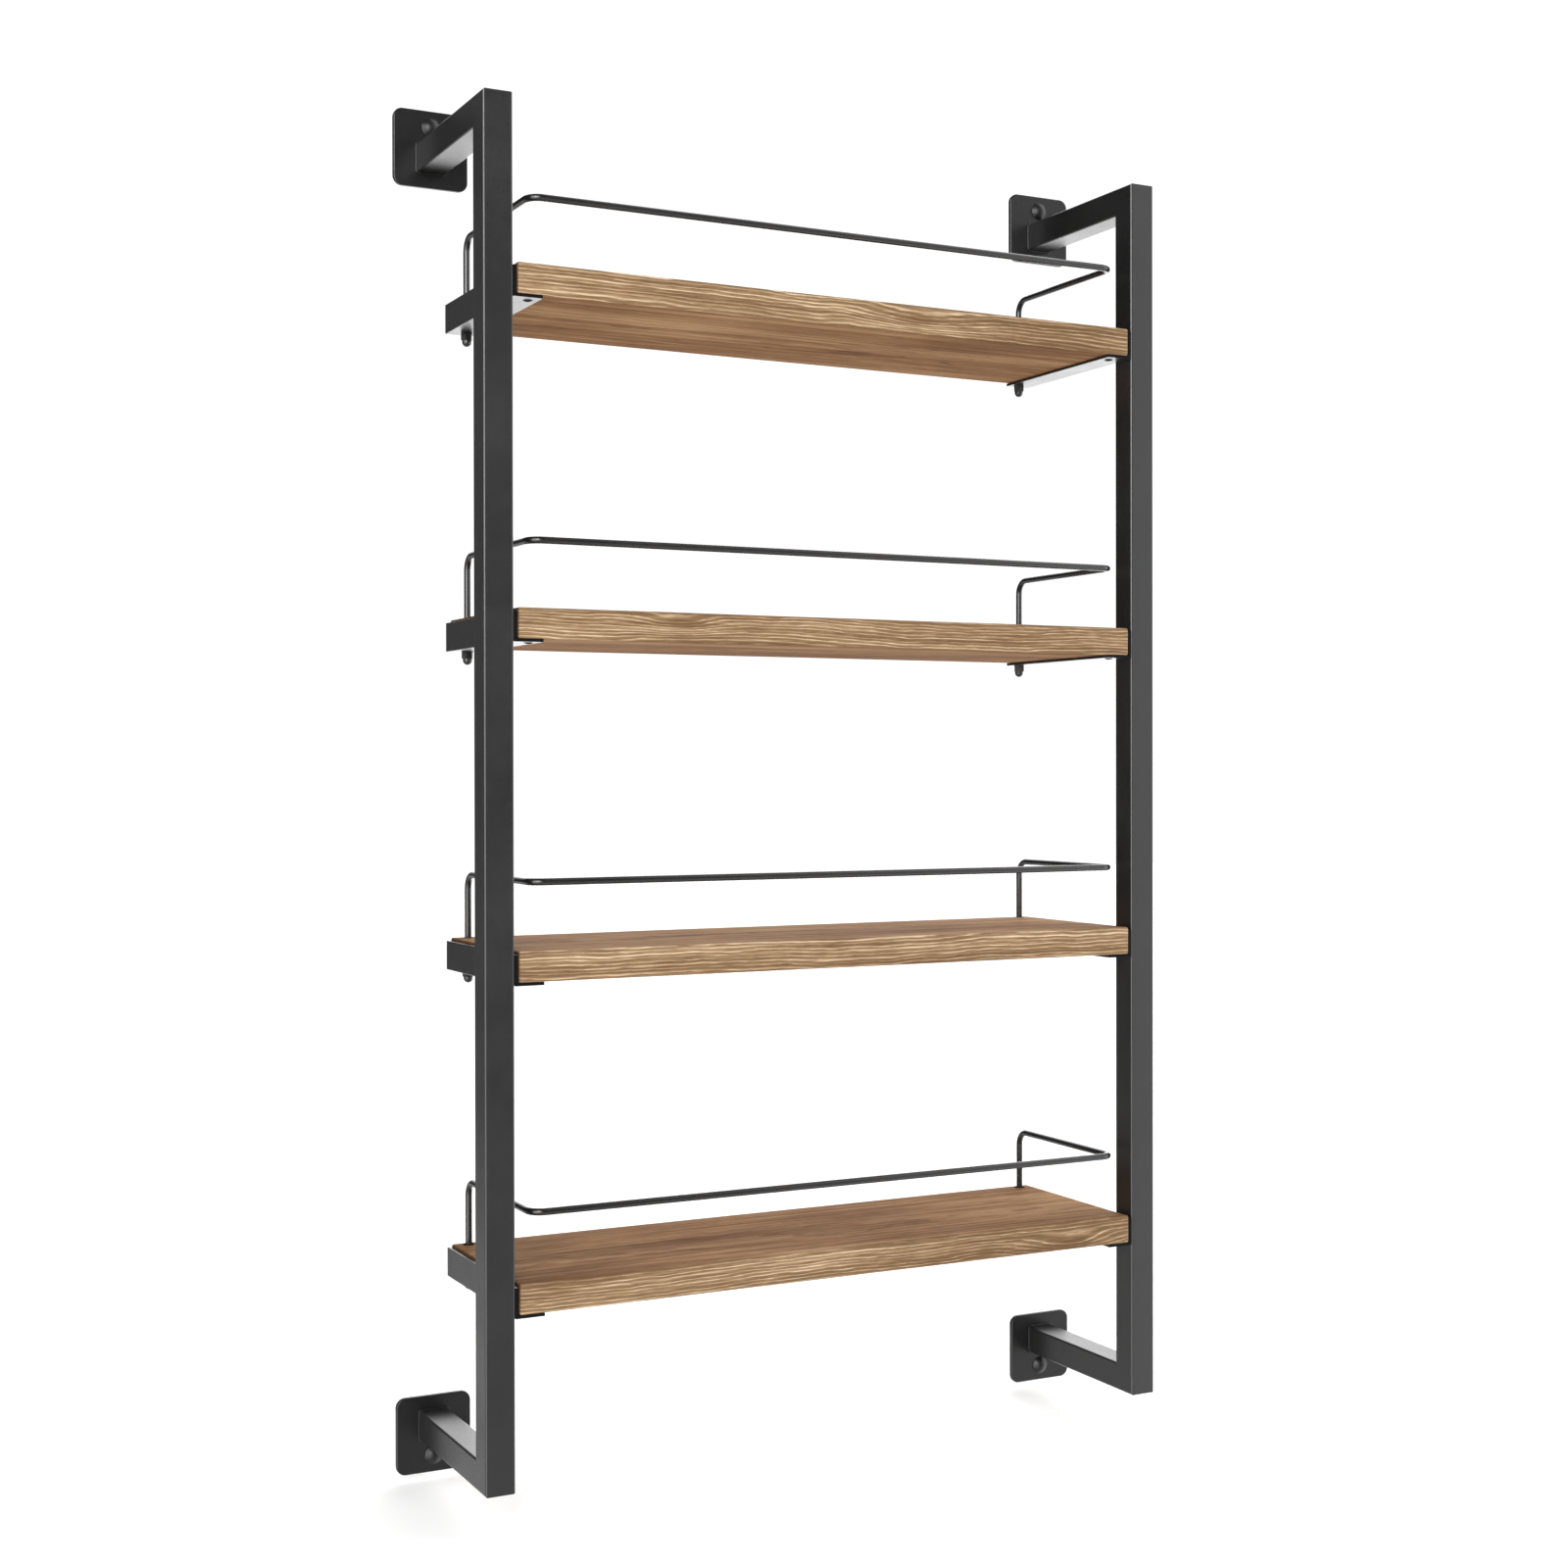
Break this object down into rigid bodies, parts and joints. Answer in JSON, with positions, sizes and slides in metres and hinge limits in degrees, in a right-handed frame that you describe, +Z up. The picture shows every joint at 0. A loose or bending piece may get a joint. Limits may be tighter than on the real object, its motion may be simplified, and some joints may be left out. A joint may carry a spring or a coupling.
{
  "type": "wall-mounted spice rack",
  "caption": "Tall wall-mounted spice rack: black square-tube side frames on wall plates, timber shelves on angle brackets, and a bent wire guard rail above each shelf.",
  "frame": {"origin": "centre of the rectangle of four wall screws, on the wall plane that the backs of the wall plates touch", "axes": "+X along the shelves, to the right as seen from the room; +Y into the wall; +Z up"},
  "size_m": [0.4126, 0.1321, 0.7002],
  "materials": {
    "frame_coat": "black satin powder coat",
    "plate_coat": "black satin powder coat",
    "weld_coat": "black satin powder coat over a weld bead",
    "bracket_coat": "black satin powder coat",
    "board_wood": "oiled rustic wood, matt",
    "wire_coat": "black semi-gloss coat",
    "fastener_black": "blackened steel, satin"
  },
  "bodies": {
    "root": {"left_post": "frame_coat", "right_post": "frame_coat", "left_top_arm": "frame_coat", "right_top_arm": "frame_coat", "left_bottom_arm": "frame_coat", "right_bottom_arm": "frame_coat", "left_top_plate": "plate_coat", "right_top_plate": "plate_coat", "left_bottom_plate": "plate_coat", "right_bottom_plate": "plate_coat", "left_top_weld": "weld_coat", "right_top_weld": "weld_coat", "left_bottom_weld": "weld_coat", "right_bottom_weld": "weld_coat", "shelf_1": "board_wood", "shelf_2": "board_wood", "shelf_3": "board_wood", "shelf_4": "board_wood", "bracket_1_left": "bracket_coat", "bracket_1_right": "bracket_coat", "bracket_2_left": "bracket_coat", "bracket_2_right": "bracket_coat", "bracket_3_left": "bracket_coat", "bracket_3_right": "bracket_coat", "bracket_4_left": "bracket_coat", "bracket_4_right": "bracket_coat", "rail_1": "wire_coat", "rail_2": "wire_coat", "rail_3": "wire_coat", "rail_4": "wire_coat", "cap_nuts_1": "fastener_black", "cap_nuts_2": "fastener_black", "cap_nuts_3": "fastener_black", "cap_nuts_4": "fastener_black", "bracket_screws_1": "fastener_black", "bracket_screws_2": "fastener_black", "bracket_screws_3": "fastener_black", "bracket_screws_4": "fastener_black", "left_top_screw": "fastener_black", "right_top_screw": "fastener_black", "left_bottom_screw": "fastener_black", "right_bottom_screw": "fastener_black"}
  },
  "joints": []
}
